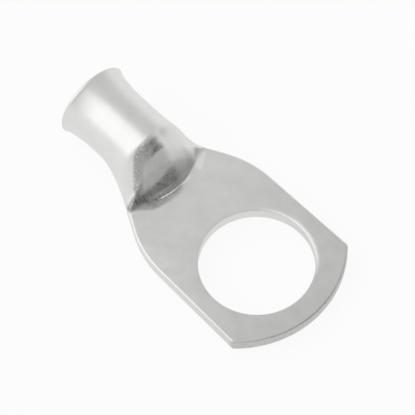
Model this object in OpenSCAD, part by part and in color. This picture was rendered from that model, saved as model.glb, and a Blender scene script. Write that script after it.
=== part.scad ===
// Tinned copper ring terminal for a stranded cable.
// It is one piece of tube: the open end is belled, the other end is pressed flat, trimmed to a wide
// palm and pierced for a stud.
// Millimetres. The origin is the centre of the stud hole on the underside of the palm. The barrel lies
// towards -X, and +Z points up, away from the face that is bolted down.

/* [Palm] */
// Diameter of the hole for the stud
stud_hole_d = 10.25; // [6:0.05:11]
// Width of the palm across the middle of the hole
palm_w = 13.7; // [12.8:0.1:15]
// Thickness of the palm, two layers of tube wall pressed together
palm_t = 1.25; // [1:0.05:1.5]
// Distance from the middle of the hole to the tip of the rounded end
tip_reach = 7.1; // [6.8:0.1:9]
// Radius of the rounded end
tip_r = 9.8; // [8.5:0.1:14]
// Angle by which each side of the palm opens towards the rounded end
side_angle = 1.3; // [0.5:0.1:2.5]
// Radius of the shoulders where the palm narrows towards the barrel
shoulder_r = 9.5; // [8:0.5:10.5]
// Distance from the middle of the hole back to the middle of the shoulder arcs
shoulder_reach = 5.15; // [4.8:0.05:5.4]
// Angle of the necked sides between the shoulders and the barrel
neck_angle = 28; // [27:0.5:29]

/* [Barrel] */
// Outside diameter of the barrel
barrel_od = 6.3; // [6.1:0.05:6.5]
// Diameter of the bore that takes the wire
bore_d = 4.5; // [4:0.1:4.8]
// Distance from the middle of the hole to the lip of the mouth
mouth_reach = 21.15; // [20.5:0.05:30]
// Outside diameter of the lip of the belled mouth
lip_d = 7.3; // [6.8:0.1:7.8]
// Length of the belled stretch
bell_len = 3; // [2:0.1:3.2]
// Chamfer around the lip
lip_chamfer = 0.15; // [0.05:0.05:0.25]

/* [Ramp] */
// Distance from the middle of the hole to the foot of the ramp
foot_reach = 10.1; // [10:0.1:10.6]
// How far the ends of the foot line bend back towards the barrel
foot_bend = 1.2; // [0.9:0.1:1.4]
// Width of the fillet in front of the foot line, at the middle
fillet_w = 0.9; // [0.6:0.1:1.1]
// Slope of the ramp
ramp_angle = 58; // [54:1:62]
// Radius of the neck where the barrel starts to spread
neck_r = 10; // [8:0.5:12]
// Softness of the ridge between the ramp and the round flanks
ridge_soft = 0.5; // [0.3:0.1:0.8]

/* [Hidden] */
$fn = 96;

wall = (barrel_od - bore_d) / 2;
barrel_r = barrel_od / 2;
bore_r = bore_d / 2;
lip_r = lip_d / 2;
axis_z = barrel_r;
mouth_x = -mouth_reach;
bell_x = mouth_x + bell_len;
tip_x = tip_reach;
tip_centre_x = tip_reach - tip_r;
eps = 0.01;
sink = 0.02;

// The side line of the palm, and the circle that rounds its shoulder into the neck line
side_y0 = palm_w / 2;
function side_y(x) = side_y0 + x * tan(side_angle);
shoulder_cx = -shoulder_reach;
shoulder_cy = side_y(shoulder_cx) - shoulder_r / cos(side_angle);
side_tangent = [shoulder_cx - shoulder_r * sin(side_angle), shoulder_cy + shoulder_r * cos(side_angle)];
neck_tangent = [shoulder_cx - shoulder_r * sin(neck_angle), shoulder_cy + shoulder_r * cos(neck_angle)];
function neck_line(x) = neck_tangent[1] + (x - neck_tangent[0]) * tan(neck_angle);

// The neck line runs back until it meets the side of the barrel, and an arc softens that corner
corner_x = neck_tangent[0] - (neck_tangent[1] - barrel_r) / tan(neck_angle);
neck_run = neck_r * tan(neck_angle / 2);
spread_x = corner_x - neck_run;
neck_end_x = corner_x + neck_run * cos(neck_angle);

// Half width of the tube as it spreads, seen from above
function half_w(x) =
    x <= spread_x ? barrel_r :
    x >= neck_end_x ? neck_line(x) :
    barrel_r + neck_r - sqrt(neck_r * neck_r - (x - spread_x) * (x - spread_x));

// Foot line of the ramp: furthest forward in the middle, bending back to a corner at each side
foot_corner_x = -foot_reach - foot_bend;
foot_half = half_w(foot_corner_x);
function swing(y) = (1 - cos(180 * min(abs(y) / foot_half, 1))) / 2;
function foot_x(y) = -foot_reach - foot_bend * swing(y);
function fillet(y) = fillet_w * (1 - swing(y));
fillet_rise = 0.35;

// Height of the pressed surface above the underside of the palm
function ramp_z(x, y) =
    let (d = foot_x(y) - x, w = fillet(y), rise = fillet_rise * w)
    d >= 0 ? palm_t - eps + rise + d * tan(ramp_angle) :
    -d < w ? palm_t - eps + rise * pow((d + w) / w, 2) :
    palm_t - eps + 0.3 * (d + w);

// Blend two heights without a sharp edge
function soft_min(a, b, k) =
    let (h = max(0, min(1, 0.5 + (b - a) / (2 * k))))
    b * (1 - h) + a * h - k * h * (1 - h);
function ease(t) = let (u = max(0, min(1, t))) u * u * (3 - 2 * u);

// Progress from the round barrel to the flat palm
function spread(x) = ease((x - spread_x) / (foot_corner_x - spread_x));
edge_r = palm_t * 0.15;
function edge(x, r) = r + (edge_r - r) * spread(x);
// Height at which the side of the tube turns into its flank
function shoulder_z(x) = barrel_r + sink + (palm_t - barrel_r) * spread(x);
// Roundness of the flanks: two is a circle, one is straight
function flank_power(x) = 2 - ease((x - corner_x - 0.35) / 2.1);
function flank(y, b, low, top, p) = low + (top - low) * pow(max(0, 1 - pow(abs(y) / b, p)), 1 / p);

// One cross section of the tube: flat bottom, rounded edge, side, flank and pressed top. b is the half
// width, c the edge radius, low, side and top the heights, p the roundness of the flank, drop how far
// the section lies below the pressed surface.
function half_ring(x, b, c, low, side, top, p, drop, steps) = concat(
    [for (i = [0:steps[0]]) let (a = 90 * i / steps[0]) [b - c + c * sin(a), low + c - c * cos(a)]],
    [for (i = [0:steps[1]]) let (y = b * cos(90 * i / steps[1]))
        [y, soft_min(flank(y, b, side, top, p), max(ramp_z(x, y) - drop, side), min(ridge_soft, c))]]);
function ring(x, b, c, low, side, top, p, drop, steps) =
    let (h = half_ring(x, b, c, low, side, top, p, drop, steps), n = len(h)) concat(
    [for (i = [0:n - 1]) [x, h[i][0], h[i][1]]],
    [for (i = [n - 2:-1:0]) [x, -h[i][0], h[i][1]]]);

module loft(rings) {
    n = len(rings[0]);
    m = len(rings);
    polyhedron(
        points = [for (r = rings) each r],
        faces = concat(
            [[for (i = [0:n - 1]) i]],
            [for (j = [0:m - 2]) for (i = [0:n - 1]) let (k = (i + 1) % n)
                each [[j * n + i, (j + 1) * n + i, j * n + k], [j * n + k, (j + 1) * n + i, (j + 1) * n + k]]],
            [[for (i = [n - 1:-1:0]) (m - 1) * n + i]]));
}

// Belled barrel: a plain tube outside, flared at the mouth on an arc, with a chamfered lip
bell_r = (bell_len * bell_len + pow(lip_r - barrel_r, 2)) / (2 * (lip_r - barrel_r));
module barrel() {
    translate([0, 0, axis_z]) rotate([0, 90, 0]) {
        translate([0, 0, bell_x]) cylinder(r = barrel_r, h = spread_x - bell_x);
        translate([0, 0, mouth_x]) rotate_extrude() difference() {
            square([lip_r, bell_len]);
            translate([barrel_r + bell_r, bell_len]) circle(r = bell_r);
            polygon([[lip_r - lip_chamfer, -eps], [lip_r + eps, -eps], [lip_r + eps, lip_chamfer]]);
        }
    }
}

// The tube spreads sideways and is pressed down by the ramp; its front end is buried in the palm
OUTER_STATIONS = 22;
BURIED_STATIONS = 6;
outer_steps = [7, 18];
loft_end_x = -foot_reach + fillet_w + 0.4;
module transition() {
    loft(concat(
        [for (i = [0:OUTER_STATIONS])
            let (x = spread_x + (foot_corner_x - spread_x) * i / OUTER_STATIONS,
                b = half_w(x) - sink, low = i == 0 ? sink : 0)
            ring(x, b, min(edge(x, barrel_r - sink), b - sink), low, shoulder_z(x),
                2 * barrel_r - sink, flank_power(x), 0, outer_steps)],
        [for (i = [1:BURIED_STATIONS])
            let (t = i / BURIED_STATIONS, x = foot_corner_x + (loft_end_x - foot_corner_x) * t,
                b = foot_half - 0.2 - 0.5 * (x - foot_corner_x))
            ring(x, b, edge_r, palm_t / 4, palm_t * 0.6, 2 * barrel_r - sink, 2, 0, outer_steps)]));
}

// Flat palm: two opening sides, rounded shoulders, straight neck sides and a large end arc
palm_back_x = foot_corner_x - 0.07;
module palm_half() {
    polygon([[palm_back_x, -eps], [palm_back_x, neck_line(palm_back_x)], neck_tangent, side_tangent,
        [tip_x, side_y(tip_x)], [tip_x, -eps]]);
    intersection() {
        translate([shoulder_cx, shoulder_cy]) circle(r = shoulder_r);
        translate([neck_tangent[0], 0]) square([side_tangent[0] - neck_tangent[0], palm_w]);
    }
}
module palm() {
    linear_extrude(height = palm_t) intersection() {
        union() {
            palm_half();
            mirror([0, 1]) palm_half();
        }
        translate([tip_centre_x, 0]) circle(r = tip_r);
    }
}

// Hollow of the tube: belled mouth, straight bore, then a pocket that the ramp closes
bore_end_x = spread_x + 1.8;
inner_lip_r = lip_r - wall * 0.85;
inner_bell_r = (bell_len * bell_len + pow(inner_lip_r - bore_r, 2)) / (2 * (inner_lip_r - bore_r));
drop = wall / cos(ramp_angle);
close_x = -foot_reach - (wall + drop + 0.4 - palm_t - fillet_rise * fillet_w) / tan(ramp_angle);
POCKET_STATIONS = 10;
pocket_steps = [5, 10];
module bore() {
    translate([0, 0, axis_z]) rotate([0, 90, 0]) {
        translate([0, 0, mouth_x - 1]) cylinder(r = bore_r, h = bore_end_x - mouth_x + 1);
        translate([0, 0, mouth_x - eps]) rotate_extrude() difference() {
            square([inner_lip_r, bell_len + eps]);
            translate([bore_r + inner_bell_r, bell_len + eps]) circle(r = inner_bell_r);
        }
    }
}
module pocket() {
    start_x = bore_end_x - 0.3;
    loft([for (i = [0:POCKET_STATIONS])
        let (t = i / POCKET_STATIONS, x = start_x + (close_x - start_x) * t,
            gap = min(2 * bore_r - 2 * sink, ramp_z(x, 0) - drop - wall),
            b = (bore_r - sink + half_w(x) - half_w(start_x)) * (1 - 0.7 * pow(t, 4)),
            c = min(edge(x, bore_r - sink), gap / 2.5, b - sink))
        ring(x, b, c, wall + sink, wall + 2 * sink + c, 2 * barrel_r - wall - sink,
            flank_power(x), drop, pocket_steps)]);
}

module ring_terminal() {
    color([0.8, 0.8, 0.79]) union() {
        difference() {
            union() {
                barrel();
                transition();
            }
            bore();
            pocket();
        }
        difference() {
            palm();
            translate([0, 0, -1]) cylinder(r = stud_hole_d / 2, h = palm_t + 2);
        }
    }
}

ring_terminal();
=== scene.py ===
import math

import bmesh
import bpy
from mathutils import Matrix, Quaternion, Vector


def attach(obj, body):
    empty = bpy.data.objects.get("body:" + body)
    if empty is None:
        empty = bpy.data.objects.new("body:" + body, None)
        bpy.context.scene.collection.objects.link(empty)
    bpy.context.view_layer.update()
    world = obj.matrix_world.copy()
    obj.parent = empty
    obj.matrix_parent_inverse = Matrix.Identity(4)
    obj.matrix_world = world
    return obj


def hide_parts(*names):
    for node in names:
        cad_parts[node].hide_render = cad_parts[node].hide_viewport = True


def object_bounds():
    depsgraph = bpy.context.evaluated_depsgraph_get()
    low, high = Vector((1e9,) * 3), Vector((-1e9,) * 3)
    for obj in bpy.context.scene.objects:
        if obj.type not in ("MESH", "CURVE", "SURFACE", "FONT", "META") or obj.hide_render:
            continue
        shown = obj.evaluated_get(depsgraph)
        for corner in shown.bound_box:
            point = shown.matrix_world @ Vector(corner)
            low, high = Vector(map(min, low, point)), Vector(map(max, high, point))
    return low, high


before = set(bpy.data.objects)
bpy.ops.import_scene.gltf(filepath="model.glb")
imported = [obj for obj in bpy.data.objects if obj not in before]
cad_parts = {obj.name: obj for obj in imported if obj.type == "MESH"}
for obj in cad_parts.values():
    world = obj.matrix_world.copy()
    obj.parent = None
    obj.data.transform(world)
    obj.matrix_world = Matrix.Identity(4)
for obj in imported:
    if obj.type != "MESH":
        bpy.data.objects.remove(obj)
cad_low, cad_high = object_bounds()
scene = bpy.context.scene

# ---- Camera ------------------------------------------------------------------------------------
# A long lens looks down on the lug from the palm's side: the barrel runs up to the left, and the
# rounded end of the palm comes towards the lower right.
view_centre = Vector((-0.00737, 0.00109, 0.0))
view_distance = 0.4042
camera = bpy.data.objects.new("camera", bpy.data.cameras.new("camera"))
camera.data.lens = 400.0
camera.data.sensor_width = 36.0
camera.data.clip_start = 0.01
camera.data.clip_end = 10.0
camera_turn = (Matrix.Rotation(math.radians(47.06), 4, "Z")
               @ Matrix.Rotation(math.radians(90.0 - 61.41), 4, "X")
               @ Matrix.Rotation(math.radians(-0.62), 4, "Z"))
camera_back = camera_turn @ Vector((0.0, 0.0, 1.0))
camera.matrix_world = Matrix.Translation(view_centre + camera_back * view_distance) @ camera_turn
scene.collection.objects.link(camera)
scene.camera = camera

# ---- Lug body ----------------------------------------------------------------------------------
# One piece of seamless copper tube, tin plated. The mouth is belled, a press flattens the other
# end down a ramp into a double thickness palm, which is then trimmed and pierced for the stud.
MM = 0.001
hole_r = 5.125
palm_t = 1.25
palm_half_w = 6.85
tip_reach = 7.094
tip_r = 9.8
side_turn = math.radians(1.3)
neck_turn = math.radians(28.0)
shoulder_r = 9.5
barrel_r = 3.15
bore_r = 2.25
wall = barrel_r - bore_r
mouth_x = -21.15
bell_len = 3.0
lip_r = 3.636
inner_lip_r = lip_r - wall * 0.85
foot_x = -10.1
foot_bend = 1.2
ramp_slope = math.tan(math.radians(58.0))

# plan outline of the palm: opening side, shoulder arc, neck line, and the arc into the barrel
shoulder_x = -5.15
shoulder_y = palm_half_w + shoulder_x * math.tan(side_turn) - shoulder_r / math.cos(side_turn)
side_end = shoulder_x - shoulder_r * math.sin(side_turn)
neck_start = shoulder_x - shoulder_r * math.sin(neck_turn)
neck_start_y = shoulder_y + shoulder_r * math.cos(neck_turn)
neck_arc_r = 10.0
neck_corner = neck_start - (neck_start_y - barrel_r) / math.tan(neck_turn)
neck_run = neck_arc_r * math.tan(neck_turn / 2)
spread_x = neck_corner - neck_run
neck_end = neck_corner + neck_run * math.cos(neck_turn)


def half_width(x):
    """Half the width of the barrel, the neck and the palm along the tube."""
    if x <= spread_x:
        return barrel_r
    if x < neck_end:
        return barrel_r + neck_arc_r - math.sqrt(neck_arc_r ** 2 - (x - spread_x) ** 2)
    if x < neck_start:
        return neck_start_y + (x - neck_start) * math.tan(neck_turn)
    if x < side_end:
        return shoulder_y + math.sqrt(shoulder_r ** 2 - (x - shoulder_x) ** 2)
    return palm_half_w + x * math.tan(side_turn)


def ease(t):
    t = min(max(t, 0.0), 1.0)
    return t * t * (3.0 - 2.0 * t)


foot_corner = foot_x - foot_bend
foot_half = half_width(foot_corner)


def spread(x):
    """How far the tube has been flattened, from 0 at the barrel to 1 at the palm."""
    return ease((x - spread_x) / (foot_corner - spread_x))


def far_heel(y):
    """Share of the heel on the +Y side, where the press ran further back."""
    return ease((y - 2.8) / 0.9)


def crease_x(y):
    """Where the ramp meets the palm: furthest forward in the middle, further back at the flanks."""
    swing = (1.0 - math.cos(math.pi * min(abs(y) / foot_half, 1.0))) / 2.0
    return foot_x - foot_bend * swing - 0.5 * far_heel(y)


def pinched(y):
    """Share by which the fillet is squeezed thin between the middle and the heel on the +Y side."""
    return ease((y - 0.2) / 1.1) * (1.0 - ease((y - 2.3) / 0.6))


def fillet_front(y):
    """Front edge of the fillet, which runs out to the flanks in two heels."""
    slant = 0.82 if y < 0.0 else 0.66
    wide = -9.35 - 0.05 * min(abs(y), 3.0) ** 2 - slant * max(abs(y) - 3.0, 0.0)
    return wide - 0.7 * pinched(y) - 0.2 * ease((y - 2.3) / 0.6)


def pressed(x, y):
    """Height of the press: a straight ramp, a crease at its foot, a small fillet, then the palm."""
    crease, front = crease_x(y), fillet_front(y)
    strip = max(front - crease, 0.05)
    middle = 1.0 - ease((foot_x - crease) / foot_bend)
    heels = 0.25 * ease((abs(y) - 3.0) / 0.8)
    rise = 0.16 + 0.16 * middle + heels + 0.25 * far_heel(y)
    rise *= 1.0 - 0.65 * pinched(y)
    if x <= crease:
        return palm_t + rise + (crease - x) * ramp_slope
    if x < front:
        return palm_t + rise * ((front - x) / strip) ** 2
    return palm_t


def soft_min(a, b, k):
    """The lesser of two heights, with the corner between them rounded."""
    if k <= 1e-6:
        return min(a, b)
    h = min(max(0.5 + (b - a) / (2.0 * k), 0.0), 1.0)
    return b * (1.0 - h) + a * h - k * h * (1.0 - h)


# steps across the top or the bottom of half a section, and up its side, where they are shorter
# towards the two corners
TOP, SIDE = 26, 10
side_shares = [0.0, 0.05, 0.13, 0.24, 0.38, 0.5, 0.62, 0.76, 0.87, 0.95, 1.0]


def half_section(x, b, c, low, shoulder, top, drop, hand):
    """Dense points of half a cross section, from the middle of the bottom to that of the top."""
    # the crown goes from round to straight flanks as the tube spreads
    p = 2.0 - ease((x - neck_corner - 0.35) / 2.1)
    corner_points, crown_points = 40, 120
    points = [(0.0, low)]
    for i in range(corner_points + 1):
        a = math.pi / 2 * i / corner_points
        points.append((b - c + c * math.sin(a), low + c - c * math.cos(a)))
    for i in range(crown_points + 1):
        y = b * math.cos(math.pi / 2 * i / crown_points)
        crown = shoulder + (top - shoulder) * max(0.0, 1.0 - (y / b) ** p) ** (1.0 / p)
        # the ridge is softer on the +Y side
        soft = (0.5 + 0.8 * ease(hand * y / 1.2)) * (1.0 - ease((x - foot_corner + 1.2) / 1.2))
        points.append((y, soft_min(crown, max(pressed(x, hand * y) - drop, shoulder), soft)))
    return points


def along(points, steps):
    """The point at each of the given shares of the length of a chain of points."""
    run = [0.0]
    for (y0, z0), (y1, z1) in zip(points, points[1:]):
        run.append(run[-1] + math.hypot(y1 - y0, z1 - z0))
    found, k = [], 0
    for share in steps:
        want = share * run[-1]
        while k < len(run) - 2 and run[k + 1] < want:
            k += 1
        gap = run[k + 1] - run[k]
        t = (want - run[k]) / gap if gap > 1e-12 else 0.0
        found.append((points[k][0] + (points[k + 1][0] - points[k][0]) * t,
                      points[k][1] + (points[k + 1][1] - points[k][1]) * t))
    return found


def eased_corners(points, reach):
    """Evenly spaced copy of a half section whose corners are rounded over the given reach."""
    count = 300
    even = along(points, [i / count for i in range(count + 1)])
    step = math.hypot(even[1][0] - even[0][0], even[1][1] - even[0][1])
    n = int(round(reach / step))
    if n < 1:
        return even
    mirrored = [(-y, z) for y, z in even[n:0:-1]] + even + [(-y, z) for y, z in even[-2:-n - 2:-1]]
    sums = [(0.0, 0.0)]
    for y, z in mirrored:
        sums.append((sums[-1][0] + y, sums[-1][1] + z))
    width = 2 * n + 1
    return [((sums[i + width][0] - sums[i][0]) / width, (sums[i + width][1] - sums[i][1]) / width)
            for i in range(count + 1)]


def section(x, b, c, low, shoulder, top, drop=0.0, flatness=None):
    """Closed ring of points: the bottom row, one side, the top row and the other side."""
    flatness = spread(x) if flatness is None else flatness
    reach = 0.28 - 0.10 * ease((x - foot_corner + 0.6) / 1.0)
    halves = []
    for hand in (1, -1):
        half = half_section(x, b, c, low, shoulder, top, drop, hand)
        dense = eased_corners(half, reach * flatness)
        # the side runs from just inside the bottom corner to just inside the top corner
        inside = b - 0.035 * b * (1.0 - flatness) - reach * flatness
        first = max(i for i, (y, z) in enumerate(dense)
                    if z < low + c + 0.3 * (shoulder - low - c) and y <= inside)
        last = min(i for i, (y, z) in enumerate(dense)
                   if i > first + 4 and y <= inside and z > low + c)
        bottom = along(dense[:first + 1], [i / TOP for i in range(TOP + 1)])
        side = along(dense[first:last + 1],
                     [i / SIDE * (1 - flatness) + side_shares[i] * flatness
                      for i in range(SIDE + 1)])
        crown = along(dense[last:], [i / TOP for i in range(TOP + 1)])
        halves.append(bottom + side[1:] + crown[1:])
    return ([Vector((x, y, z)) for y, z in halves[0]]
            + [Vector((x, -y, z)) for y, z in halves[1][-2:0:-1]])


def outside(x):
    """Outer ring: a circle at the barrel, which flattens into the palm's sharp rectangle."""
    s, palm_corner = spread(x), 0.02
    return section(x, half_width(x), barrel_r + (palm_corner - barrel_r) * s, 0.0,
                   barrel_r + (palm_t - barrel_r) * s, 2 * barrel_r)


def round_ring(x, r):
    """A ring with the same count and order of points as a section, on a circle."""
    unit = section(spread_x, barrel_r, barrel_r, 0.0, barrel_r, 2 * barrel_r, 0.0, 0.0)
    return [Vector((x, p.y * r / barrel_r, barrel_r + (p.z - barrel_r) * r / barrel_r))
            for p in unit]


def stretch(bm, chain, places, closed=True):
    """Extrudes a chain of edges and sets its new points; returns them in the same order."""
    ends = chain[1:] + chain[:1] if closed else chain[1:]
    edges = [bm.edges.get((a, b)) for a, b in zip(chain, ends)]
    drawn = bmesh.ops.extrude_edge_only(bm, edges=edges)["geom"]
    made = {g for g in drawn if isinstance(g, bmesh.types.BMVert)}
    new = [next(e.other_vert(v) for e in v.link_edges if e.other_vert(v) in made) for v in chain]
    for v, place in zip(new, places):
        v.co = place
    return new


def flare(x, base, reach):
    """Radius of the belled stretch, which opens on an arc."""
    arc = (bell_len ** 2 + (reach - base) ** 2) / (2 * (reach - base))
    run = max(0.0, mouth_x + bell_len - x)
    return base + arc - math.sqrt(arc ** 2 - run ** 2)


bm = bmesh.new()
# pocket: the inside follows the ramp, a wall's thickness under it, down to a thin closed end
drop = wall / math.cos(math.atan(ramp_slope))
closed_gap, foot_rise = 0.4, 0.315
close_x = foot_x - (wall + drop + closed_gap - palm_t - foot_rise) / ramp_slope
pocket_x = spread_x + 1.5
pocket_steps, ramp_steps = 24, 110


def inside_ring(x):
    """Ring of the pocket, which narrows to 0.3 of its width at the closed end."""
    t = (x - pocket_x) / (close_x - pocket_x)
    s = spread(x)
    gap = min(2 * bore_r, pressed(x, 0.0) - drop - wall)
    b = (bore_r + half_width(x) - half_width(pocket_x)) * (1.0 - 0.7 * t ** 4)
    c = min(bore_r + (0.3 - bore_r) * s, gap / 2.2, b)
    return section(x, b, c, wall, wall + c + 0.02, 2 * barrel_r - wall, drop, 0.3 * s)


places = inside_ring(close_x)
first = bmesh.ops.create_circle(bm, segments=len(places), radius=1.0)["verts"]
for v, place in zip(first, places):
    v.co = place
bmesh.ops.contextual_create(bm, geom=first)
ring = first
for i in range(1, pocket_steps):
    ring = stretch(bm, ring, inside_ring(close_x + (pocket_x - close_x) * i / pocket_steps))
for x in (pocket_x, spread_x, mouth_x + bell_len):
    ring = stretch(bm, ring, round_ring(x, bore_r))
bell_steps, lip_start = 12, 0.35
for i in range(1, bell_steps + 1):
    x = mouth_x + bell_len - (bell_len - lip_start) * i / bell_steps
    ring = stretch(bm, ring, round_ring(x, flare(x, bore_r, inner_lip_r)))
# rolled lip, tucked just inside the two skins of the bell
lip_steps, lip_depth, lip_tuck = 10, 0.3, 0.985
lip_mid = (lip_r + inner_lip_r) / 2
lip_half = (lip_r - inner_lip_r) / 2
for i in range(1, lip_steps):
    a = math.pi * i / lip_steps
    ring = stretch(bm, ring, round_ring(mouth_x + lip_depth * (1 - math.sin(a)),
                                        lip_mid - lip_half * math.cos(a) * lip_tuck))
for i in range(bell_steps, -1, -1):
    x = mouth_x + bell_len - (bell_len - lip_start) * i / bell_steps
    ring = stretch(bm, ring, round_ring(x, flare(x, barrel_r, lip_r)))
# barrel, spread and ramp, as far as just ahead of the fillet
plate_x = -9.1
for i in range(0, ramp_steps + 1):
    ring = stretch(bm, ring, outside(spread_x + (plate_x - spread_x) * i / ramp_steps))

# rim of the palm: the side profile is drawn round the outline to the other side
n = len(ring)
right_side = ring[TOP:TOP + SIDE + 1]
left_side = [ring[-i % n] for i in range(TOP, TOP + SIDE + 1)]
edge_y = half_width(plate_x)
profile = [(edge_y - v.co.y, v.co.z) for v in right_side]

# the tip's arc and the sides meet in corners that are rounded a little; the middle of that
# rounding is found by halving
tip_centre = tip_reach - tip_r
corner_r = 0.32
lo, hi = 0.0, tip_reach
for _ in range(60):
    mid = (lo + hi) / 2
    inset_y = half_width(mid) - corner_r / math.cos(side_turn)
    if (mid - tip_centre) ** 2 + inset_y ** 2 < (tip_r - corner_r) ** 2:
        lo = mid
    else:
        hi = mid
corner_x = lo
corner_y = half_width(corner_x) - corner_r / math.cos(side_turn)
corner_a = math.atan2(corner_y, corner_x - tip_centre)
side_a = math.pi / 2 + side_turn
neck_steps, side_steps, corner_steps, tip_steps = 24, 36, 6, 44
tiny = 1e-4
outline = []
for i in range(1, neck_steps + 1):
    x = plate_x + (side_end - plate_x) * i / neck_steps
    slope = (half_width(x + tiny) - half_width(x - tiny)) / (2 * tiny)
    outline.append((x, half_width(x), math.atan2(1.0, -slope)))
for i in range(1, side_steps):
    x = side_end + (corner_x + corner_r * math.cos(side_a) - side_end) * i / side_steps
    outline.append((x, half_width(x), side_a))
for i in range(0, corner_steps + 1):
    a = side_a + (corner_a - side_a) * i / corner_steps
    outline.append((corner_x + corner_r * math.cos(a), corner_y + corner_r * math.sin(a), a))
right = list(outline)
for i in range(1, tip_steps):
    a = corner_a * (1 - i / (tip_steps // 2))
    outline.append((tip_centre + tip_r * math.cos(a), tip_r * math.sin(a), a))
outline += [(x, -y, -a) for x, y, a in right[::-1]]
top_rim, bottom_rim = [right_side[-1]], [right_side[0]]
column = right_side
for x, y, a in outline:
    column = stretch(bm, column, [Vector((x - math.cos(a) * o, y - math.sin(a) * o, z))
                                  for o, z in profile], False)
    top_rim.append(column[-1])
    bottom_rim.append(column[0])
column = stretch(bm, column, [v.co.copy() for v in left_side], False)
top_rim.append(column[-1])
bottom_rim.append(column[0])
bmesh.ops.weld_verts(bm, targetmap=dict(zip(column, left_side)))
top_rim[-1], bottom_rim[-1] = left_side[-1], left_side[0]

# faces of the palm and the pierced hole; the punch rolled the upper rim over, most on the +Y side
top_loop = top_rim[:-1] + [ring[i % n] for i in range(n - TOP - SIDE, TOP + SIDE, -1)]
bottom_loop = bottom_rim[:-1] + [ring[i % n] for i in range(n - TOP, n + TOP)]


def hole_ring(loop, z, out, down, margin, roll, sag):
    """A ring round the hole: out and down say how far along the rollover it lies, from 0 to 1."""
    places = []
    for v in loop:
        way = v.co.xy.normalized()
        most = ease((way.y - 0.3) / 0.5) if z > 0 else 0.0
        r = hole_r + margin + (roll + 0.4 * most) * out
        places.append(Vector((way.x * r, way.y * r, z - (sag + 0.1 * most) * down)))
    return places


collar = 0.15
roll_degrees = (0, 11, 22, 33, 44, 56, 68, 79, 90)
for loop, z, roll, sag in ((top_loop, palm_t, 0.07, 0.035), (bottom_loop, 0.0, 0.06, -0.05)):
    chain = stretch(bm, loop, hole_ring(loop, z, 1.0, 0.0, collar, roll, sag))
    for a in roll_degrees:
        out, down = 1 - math.sin(math.radians(a)), 1 - math.cos(math.radians(a))
        chain = stretch(bm, chain, hole_ring(loop, z, out, down, 0.0, roll, sag))
    if z > 0:
        upper = chain
    else:
        ends = chain[1:] + chain[:1]
        upper_ends = upper[1:] + upper[:1]
        bmesh.ops.bridge_loops(bm, edges=[bm.edges.get((a, b)) for a, b in zip(chain, ends)]
                               + [bm.edges.get((a, b)) for a, b in zip(upper, upper_ends)])

# how far each point belongs to the press worked metal, whose colour is also darkened there as
# painted shade for dark reflections: a dark patch at the top of the ramp, a band along the ridge, a
# dark band behind the crease, the fillet in front of it on the -Y side, and, less, the sheared edge
# of the rounded end. Three more shares say where the grain is combed, where painted glints go along
# the ridge and where the heel gets a painted highlight
worked_and_shaded = bm.verts.layers.float.new("press_worked_and_shaded")
combed = bm.verts.layers.float.new("combed")
painted_glints = bm.verts.layers.float.new("painted_glints")
painted_heel_highlight = bm.verts.layers.float.new("painted_heel_highlight")
ridge_x = -13.6
tip_edge, skin_depth, inner_half_w = 0.25, 0.7, 2.4


def bell(t):
    return math.exp(-t * t)


def past_ridge(x, y):
    """How far a point lies in front of the ridge, which bends forward on the -Y side."""
    return x - ridge_x - 0.7 * min(max(-1.6 - y, 0.0), 1.93) ** 1.5


def worked_and_shaded_share(x, y, z):
    """Share of press worked metal at a point, from 0 to 1, which also sets how far painted shade
    darkens it.
    """
    if z < palm_t - 0.06:
        on_tip = x > 0.0 and math.hypot(x - tip_centre, y) > tip_r - tip_edge
        return 0.3 if on_tip and z > 0.05 else 0.0
    if x < -13.9 or x > foot_x + 1.3:
        return 0.0
    behind, ridge = crease_x(y) - x, past_ridge(x, y)
    if behind < 0.0:
        near = 0.36 + 0.34 * ease((-0.6 - y) / 1.6) + 0.3 * bell(behind / 0.3)
        near = near * (1.0 - 0.25 * ease((-2.9 - y) / 0.5))
        return near * ease((fillet_front(y) - x) / 0.35) * ease((0.9 - y) / 1.5)
    band = 0.55 * ease((ridge + 0.1) / 0.3) * ease((1.65 - ridge) / 0.7) * ease((0.4 - y) / 0.8)
    patch = 0.9 * ease((x + 13.35 - 0.62 * abs(y + 0.15)) / 0.75) * ease((-12.22 - x) / 0.22)
    patch *= ease((0.95 - y) / 0.45) * ease((y + 1.5) / 0.5)
    lobe = 0.16 * ease((1.1 - y) / 0.7) * ease((x + 13.3) / 0.7)
    reach = 1.3 - 0.2 * max(-y, 0.0)
    near_line = 0.45 + 0.55 * ease((behind - 0.05) / 0.3) if y > -2.6 else 1.0
    crease = 0.8 * near_line * ease((reach - behind) / 0.4) * ease((2.1 - y) / 2.2)
    valley = 0.35 * bell((y + 2.6) / 0.7) * bell((behind - 0.1) / 0.3)
    corner = 0.72 * ease((-2.9 - y) / 0.4)
    triangle = 0.24 * ease((x + 11.74 - 0.136 * y) / 0.25) * ease((3.4 - y) / 1.2)
    most = max(band, patch, lobe, crease + valley, corner, triangle)
    return min(1.0, most) * ease((ridge + 0.15) / 0.25)


for v in bm.verts:
    x, y, z = v.co
    # the inside of the tube stays plain: it lies a wall's thickness under the ramp and the barrel
    if abs(y) < inner_half_w and z > palm_t:
        skin = min(pressed(x, y), barrel_r + math.sqrt(barrel_r ** 2 - y * y))
        if skin - z > skin_depth:
            continue
    v[worked_and_shaded] = worked_and_shaded_share(x, y, z)
    if z > 1.0:
        v[combed] = bell((crease_x(y) - x) / 0.42)
        v[painted_glints] = (bell((past_ridge(x, y) - 0.3) / 0.3) * ease((-0.2 - y) / 0.5)
                      * ease((y + 3.5) / 0.4))
        v[painted_heel_highlight] = (ease((fillet_front(y) - x) / 0.15) * ease((x - crease_x(y) - 0.05) / 0.2)
                       * ease((y - 2.5) / 0.4) * ease((4.5 - y) / 0.3))

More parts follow.
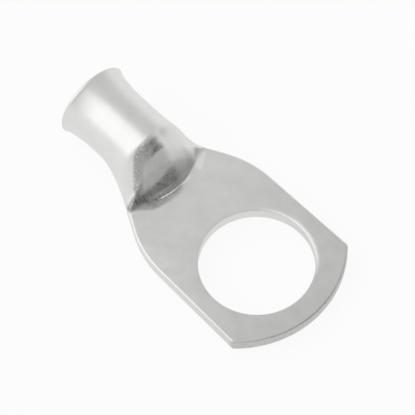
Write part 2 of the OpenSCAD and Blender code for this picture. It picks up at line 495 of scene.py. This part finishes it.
bmesh.ops.scale(bm, vec=(MM, MM, MM), verts=bm.verts)
bmesh.ops.remove_doubles(bm, verts=bm.verts, dist=1e-8)
bmesh.ops.recalc_face_normals(bm, faces=bm.faces)
for f in bm.faces:
    f.smooth = True
lug_mesh = bpy.data.meshes.new("lug")
bm.to_mesh(lug_mesh)
bm.free()
lug = bpy.data.objects.new("lug", lug_mesh)
scene.collection.objects.link(lug)
# the flat faces stay flat in the shading beside the rounded edges
keep_flats = lug.modifiers.new("flats", "WEIGHTED_NORMAL")
keep_flats.mode = "FACE_AREA"
keep_flats.weight = 50
keep_flats.thresh = 0.0

# grain of the plating: cloudy tone, fine peel and hair scratches
grain = bpy.data.node_groups.new("plating_grain", "ShaderNodeTree")
for name, kind in (("Vector", "NodeSocketVector"), ("Cloud scale", "NodeSocketFloat"),
                   ("Peel scale", "NodeSocketFloat")):
    grain.interface.new_socket(name=name, in_out="INPUT", socket_type=kind)
for name in ("Cloud", "Peel", "Scratch"):
    grain.interface.new_socket(name=name, in_out="OUTPUT", socket_type="NodeSocketFloat")
nodes, links = grain.nodes, grain.links


def feed(socket, value):
    """Gives a socket a plain number or a link, in the material that is being built."""
    if isinstance(value, float):
        socket.default_value = value
    else:
        links.new(value, socket)


def noise(vector, scale, detail, roughness=0.5):
    node = nodes.new("ShaderNodeTexNoise")
    feed(node.inputs["Vector"], vector)
    feed(node.inputs["Scale"], scale)
    node.inputs["Detail"].default_value = detail
    node.inputs["Roughness"].default_value = roughness
    return node.outputs["Fac"]


def spanned(value, low, high, to_low, to_high, smooth=False):
    """Value taken from one range to another, and held at its ends."""
    node = nodes.new("ShaderNodeMapRange")
    node.interpolation_type = "SMOOTHSTEP" if smooth else "LINEAR"
    node.inputs["From Min"].default_value = low
    node.inputs["From Max"].default_value = high
    node.inputs["To Min"].default_value = to_low
    node.inputs["To Max"].default_value = to_high
    links.new(value, node.inputs["Value"])
    return node.outputs[0]


def combined(operation, a, b):
    """One step of arithmetic on values or plain numbers."""
    node = nodes.new("ShaderNodeMath")
    node.operation = operation
    feed(node.inputs[0], a)
    feed(node.inputs[1], b)
    return node.outputs[0]


into = nodes.new("NodeGroupInput")
out_of = nodes.new("NodeGroupOutput")
grain_place = into.outputs["Vector"]
links.new(noise(grain_place, into.outputs["Cloud scale"], 4.0, 0.6), out_of.inputs["Cloud"])
links.new(noise(grain_place, into.outputs["Peel scale"], 3.0, 0.65), out_of.inputs["Peel"])
hair_scale = 260.0
hairs = None
for angle, stretch_by in ((0.35, 26.0), (-0.8, 34.0), (1.35, 30.0)):
    turn = nodes.new("ShaderNodeMapping")
    turn.inputs["Rotation"].default_value = (0.1, 0.15, angle)
    turn.inputs["Scale"].default_value = (hair_scale, hair_scale * stretch_by,
                                          hair_scale * stretch_by)
    links.new(grain_place, turn.inputs["Vector"])
    hair = spanned(noise(turn.outputs[0], 1.0, 2.0), 0.66, 0.76, 0.0, 1.0, smooth=True)
    hairs = hair if hairs is None else combined("MAXIMUM", hairs, hair)
links.new(hairs, out_of.inputs["Scratch"])

tin = bpy.data.materials.new("tin_plating")
tin.use_nodes = True
nodes, links = tin.node_tree.nodes, tin.node_tree.links


def marked(name):
    """Share that a mark on the mesh gives to the metal at each point."""
    node = nodes.new("ShaderNodeAttribute")
    node.attribute_name = name
    return node.outputs["Fac"]


def mixed(share, a, b):
    """Goes from a to b as the share goes from 0 to 1."""
    node = nodes.new("ShaderNodeMix")
    node.data_type = "FLOAT"
    links.new(share, node.inputs["Factor"])
    links.new(a, node.inputs["A"])
    links.new(b, node.inputs["B"])
    return node.outputs["Result"]


shade = nodes["Principled BSDF"]
shade.inputs["Metallic"].default_value = 1.0
metal_place = nodes.new("ShaderNodeTexCoord").outputs["Object"]
plating = nodes.new("ShaderNodeGroup")
plating.node_tree = grain
plating.inputs["Cloud scale"].default_value = 650.0
plating.inputs["Peel scale"].default_value = 5200.0
links.new(metal_place, plating.inputs["Vector"])
# press worked metal: fine speckle, combed along the tube next to the crease
is_worked_and_shaded = marked("press_worked_and_shaded")
pull = nodes.new("ShaderNodeMapping")
pull.inputs["Scale"].default_value = (1700.0, 7600.0, 700.0)
links.new(metal_place, pull.inputs["Vector"])
worked_grain = mixed(marked("combed"), noise(metal_place, 4300.0, 5.0, 0.62),
                     noise(pull.outputs[0], 1.0, 3.0))
plain_tone = combined("SUBTRACT", spanned(plating.outputs["Cloud"], 0.3, 0.7, 0.7, 0.745),
                      combined("MULTIPLY", plating.outputs["Scratch"], 0.018))
# worked tone: darker for the rougher grain, and much darker still as painted shade for dark
# reflections
worked_and_shaded_tone = spanned(worked_grain, 0.32, 0.7, 0.11, 0.43)

# a thin bead along the crease where the heel of the press tool ran, in the bump, and a painted
# highlight along it in the colour: strongest on the -Y side
along_tube = nodes.new("ShaderNodeSeparateXYZ")
links.new(metal_place, along_tube.inputs[0])
bow = combined("MULTIPLY", combined("MULTIPLY", along_tube.outputs["Y"],
                                    along_tube.outputs["Y"]), 0.085 / MM)
ahead = combined("ADD", combined("ADD", along_tube.outputs["X"], bow), 10.0 * MM)


def thin_line(offset, half_thick):
    """A line that fades to nothing over its half thickness, behind the crease by the offset."""
    away = combined("ABSOLUTE", combined("ADD", ahead, offset * MM), 0.0)
    core = combined("SUBTRACT", 1.0, combined("MULTIPLY", away, 1.0 / (half_thick * MM)))
    return combined("MAXIMUM", core, 0.0)


lines = combined("ADD", thin_line(0.0, 0.085), combined("MULTIPLY", thin_line(0.36, 0.06), 0.3))
across = nodes.new("ShaderNodeValToRGB")
across.color_ramp.elements[0].position, across.color_ramp.elements[1].position = 0.0, 1.0
across.color_ramp.elements[0].color = (0.0, 0.0, 0.0, 1.0)
across.color_ramp.elements[1].color = (0.0, 0.0, 0.0, 1.0)
for at, much in ((0.06, 1.0), (0.4, 1.0), (0.52, 0.5), (0.88, 0.4)):
    stop = across.color_ramp.elements.new(at)
    stop.color = (much, much, much, 1.0)
links.new(spanned(along_tube.outputs["Y"], -1.85 * MM, 2.0 * MM, 0.0, 1.0), across.inputs["Fac"])
crease_bead_and_highlight = combined("MULTIPLY", lines, across.outputs["Color"])
on_top = combined("GREATER_THAN", along_tube.outputs["Z"], 1.0 * MM)
crease_bead_and_highlight = combined("MULTIPLY", crease_bead_and_highlight, on_top)
# the press marks and their painted shade are patchy: a slow noise eats into them
worked_and_shaded_patches = combined("MULTIPLY", is_worked_and_shaded,
                          spanned(noise(metal_place, 1900.0, 3.0), 0.3, 0.7, 0.85, 1.15))
# painted light and shade: lighter near the barrel, a little darker towards the rounded end
plain_tone_shaded_to_tip = combined("MULTIPLY", plain_tone,
                  spanned(along_tube.outputs["X"], -9.5 * MM, 6.0 * MM, 1.04, 0.89))
# the painted highlight of the crease line is added to the colour here
shown = combined("ADD", mixed(worked_and_shaded_patches, plain_tone_shaded_to_tip, worked_and_shaded_tone),
                 combined("MULTIPLY", crease_bead_and_highlight, 0.8))
# painted glints: small bright specks added to the colour along the ridge
glint = combined("MULTIPLY", spanned(noise(metal_place, 5600.0, 1.0), 0.6, 0.72, 0.0, 1.0),
                 marked("painted_glints"))
shown = combined("ADD", shown, combined("MULTIPLY", glint, 0.3))
# painted highlight: the heel on the +Y side is painted a little brighter
shown = combined("ADD", shown, combined("MULTIPLY", marked("painted_heel_highlight"), 0.15))
tint = nodes.new("ShaderNodeCombineColor")
for channel, share in zip(("Red", "Green", "Blue"), (1.0, 0.995, 0.975)):
    links.new(combined("MULTIPLY", shown, share), tint.inputs[channel])
links.new(tint.outputs[0], shade.inputs["Base Color"])
plain_rough = combined("ADD", spanned(plating.outputs["Cloud"], 0.3, 0.7, 0.31, 0.38),
                       combined("MULTIPLY", plating.outputs["Scratch"], 0.08))
worked_rough = spanned(worked_grain, 0.3, 0.7, 0.34, 0.5)
links.new(mixed(is_worked_and_shaded, plain_rough, worked_rough), shade.inputs["Roughness"])
plain_relief = combined("SUBTRACT", combined("MULTIPLY", plating.outputs["Peel"], 0.12),
                        combined("MULTIPLY", plating.outputs["Scratch"], 0.06))
relief = nodes.new("ShaderNodeBump")
relief.inputs["Strength"].default_value = 0.7
relief.inputs["Distance"].default_value = 0.00006
links.new(combined("ADD", mixed(is_worked_and_shaded, plain_relief, worked_grain),
                   combined("MULTIPLY", crease_bead_and_highlight, 0.6)), relief.inputs["Height"])
links.new(relief.outputs[0], shade.inputs["Normal"])
lug_mesh.materials.append(tin)
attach(lug, "root")
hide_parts("ring_terminal")

# ---- Floor and light ---------------------------------------------------------------------------
# A plain white table in a pale room, under one large soft box. The camera sees the room as white,
# and the metal reflects its pale walls, its greyer ceiling and its dark far end.
floor_mesh = bpy.data.meshes.new("floor")
bm = bmesh.new()
bmesh.ops.create_grid(bm, x_segments=1, y_segments=1, size=1.5)
bmesh.ops.translate(bm, vec=(0.0, 0.0, cad_low.z), verts=bm.verts)
bm.to_mesh(floor_mesh)
bm.free()
floor = bpy.data.objects.new("floor", floor_mesh)
scene.collection.objects.link(floor)
paper = bpy.data.materials.new("white_table")
paper.use_nodes = True
nodes, links = paper.node_tree.nodes, paper.node_tree.links
nodes.clear()


def blended(share, first_shader, second_shader, out):
    node = nodes.new("ShaderNodeMixShader")
    links.new(share, node.inputs[0])
    links.new(first_shader.outputs[0], node.inputs[1])
    links.new(second_shader.outputs[0], node.inputs[2])
    links.new(node.outputs[0], out.inputs[0])


# nine tenths of the table is plain white to the camera and the metal, and the rest is lit paper,
# which lets a soft shadow show
diffuse = nodes.new("ShaderNodeBsdfDiffuse")
diffuse.inputs["Color"].default_value = (0.9, 0.9, 0.9, 1.0)
glow = nodes.new("ShaderNodeEmission")
glow.inputs["Strength"].default_value = 1.0
rays = nodes.new("ShaderNodeLightPath").outputs
seen = combined("MAXIMUM", combined("MAXIMUM", rays["Is Camera Ray"], rays["Is Glossy Ray"]),
                rays["Is Transmission Ray"])
blended(combined("MULTIPLY", seen, 0.9), diffuse, glow, nodes.new("ShaderNodeOutputMaterial"))
floor_mesh.materials.append(paper)

world = bpy.data.worlds.new("studio")
scene.world = world
world.use_nodes = True
nodes, links = world.node_tree.nodes, world.node_tree.links
nodes.clear()
# pale walls, a greyer ceiling, and a dark far end beyond the rounded end of the palm
way = nodes.new("ShaderNodeTexCoord").outputs["Generated"]
parts = nodes.new("ShaderNodeSeparateXYZ")
links.new(way, parts.inputs[0])
facing = nodes.new("ShaderNodeVectorMath")
facing.operation = "DOT_PRODUCT"
facing.inputs[1].default_value = (0.94, 0.33, 0.0)
links.new(way, facing.inputs[0])
level = combined("MULTIPLY", spanned(parts.outputs["Z"], 0.1, 0.6, 0.97, 0.71, smooth=True),
                 spanned(facing.outputs["Value"], 0.45, 0.95, 1.0, 0.36, smooth=True))
room = nodes.new("ShaderNodeBackground")
links.new(level, room.inputs["Color"])
white = nodes.new("ShaderNodeBackground")
white.inputs["Color"].default_value = (1.0, 1.0, 1.0, 1.0)
# the camera sees plain white; metal shows the same white where the walls are, but not over the
# ceiling and the dark end
rays = nodes.new("ShaderNodeLightPath").outputs
mirrored = combined("MULTIPLY", rays["Is Glossy Ray"], spanned(level, 0.88, 0.97, 0.0, 1.0))
seen = combined("MAXIMUM", combined("MAXIMUM", rays["Is Camera Ray"],
                                    rays["Is Transmission Ray"]), mirrored)
blended(seen, room, white, nodes.new("ShaderNodeOutputWorld"))

# the soft box hangs at the upper left of the view, turned towards the lug
lamp = bpy.data.lights.new("soft_box", "AREA")
lamp.shape = "RECTANGLE"
lamp.size, lamp.size_y = 0.67, 0.8
lamp.energy = 1.11
lamp_object = bpy.data.objects.new("soft_box", lamp)
lamp_object.location = (-0.308, -0.291, 0.439)
lamp_object.rotation_mode = "QUATERNION"
lamp_object.rotation_quaternion = (Vector(lamp_object.location).to_track_quat("Z", "Y")
                                   @ Quaternion((0.0, 0.0, 1.0), math.radians(25.0)))
scene.collection.objects.link(lamp_object)

scene.view_settings.view_transform = "Standard"
